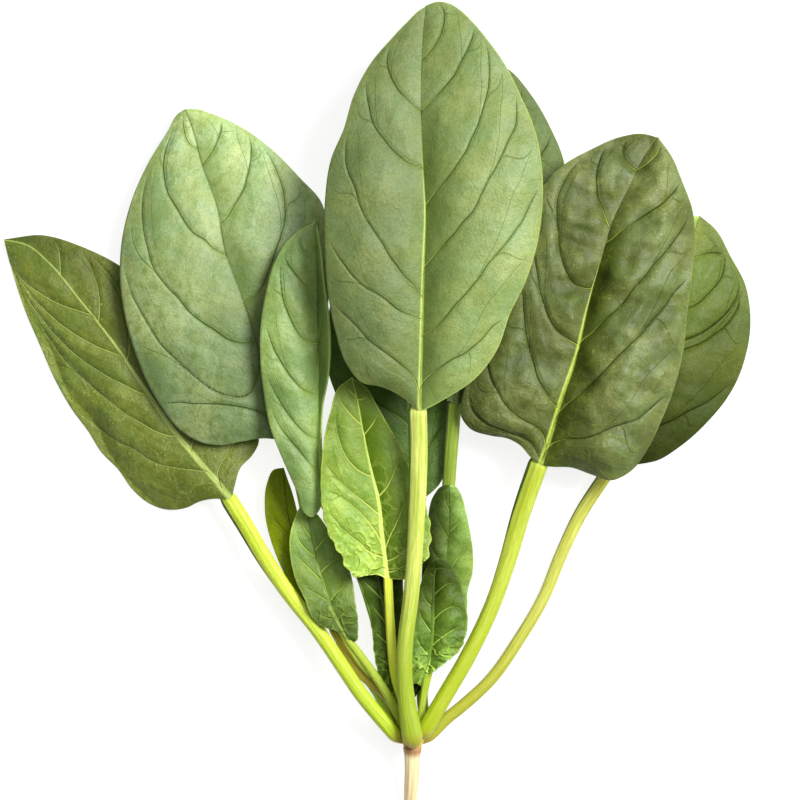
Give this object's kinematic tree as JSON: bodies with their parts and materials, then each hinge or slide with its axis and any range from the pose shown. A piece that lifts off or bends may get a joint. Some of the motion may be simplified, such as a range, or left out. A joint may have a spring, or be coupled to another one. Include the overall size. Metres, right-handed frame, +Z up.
{
  "type": "spinach bunch",
  "caption": "Bunch of fresh spinach lying flat: broad oval leaves on long stalks fan out from a short crown with a stub of trimmed taproot.",
  "frame": {"origin": "on the surface that the bunch lies on, under the middle of its bounding box", "axes": "+Z up from the surface; +Y from the taproot to the leaf tips; +X to the right, seen from above with the root towards the viewer"},
  "size_m": [0.2402, 0.2628, 0.0442],
  "materials": {
    "crown": "smooth, moist, yellow-green",
    "taproot": "matt, pale pinkish cream root skin",
    "stalk": "smooth yellow-green with a soft shine",
    "front_blade": "smooth veined leaf, soft shine",
    "left_blade": "smooth veined leaf, soft shine",
    "folded_blade": "smooth veined leaf, soft shine",
    "far_left_blade": "smooth veined leaf, soft shine",
    "right_blade": "puckered veined leaf, soft shine",
    "far_right_blade": "smooth veined leaf, soft shine",
    "back_blade": "smooth veined leaf, soft shine",
    "back_middle_blade": "smooth veined leaf, soft shine",
    "pale_blade": "young leaf, light yellow-green",
    "low_left_blade": "smooth veined leaf, soft shine",
    "low_far_left_blade": "smooth veined leaf, olive",
    "heart_left_blade": "young dark leaf",
    "low_right_blade": "young puckered leaf",
    "heart_right_blade": "young puckered leaf"
  },
  "bodies": {
    "root": {"crown": "crown", "taproot": "taproot", "front_blade": "front_blade", "front_stalk": "stalk", "left_blade": "left_blade", "left_stalk": "stalk", "folded_blade": "folded_blade", "folded_stalk": "stalk", "far_left_blade": "far_left_blade", "far_left_stalk": "stalk", "right_blade": "right_blade", "right_stalk": "stalk", "far_right_blade": "far_right_blade", "far_right_stalk": "stalk", "back_blade": "back_blade", "back_stalk": "stalk", "back_middle_blade": "back_middle_blade", "back_middle_stalk": "stalk", "pale_blade": "pale_blade", "pale_stalk": "stalk", "low_left_blade": "low_left_blade", "low_left_stalk": "stalk", "low_far_left_blade": "low_far_left_blade", "low_far_left_stalk": "stalk", "heart_left_blade": "heart_left_blade", "heart_left_stalk": "stalk", "low_right_blade": "low_right_blade", "low_right_stalk": "stalk", "heart_right_blade": "heart_right_blade", "heart_right_stalk": "stalk"}
  },
  "joints": []
}
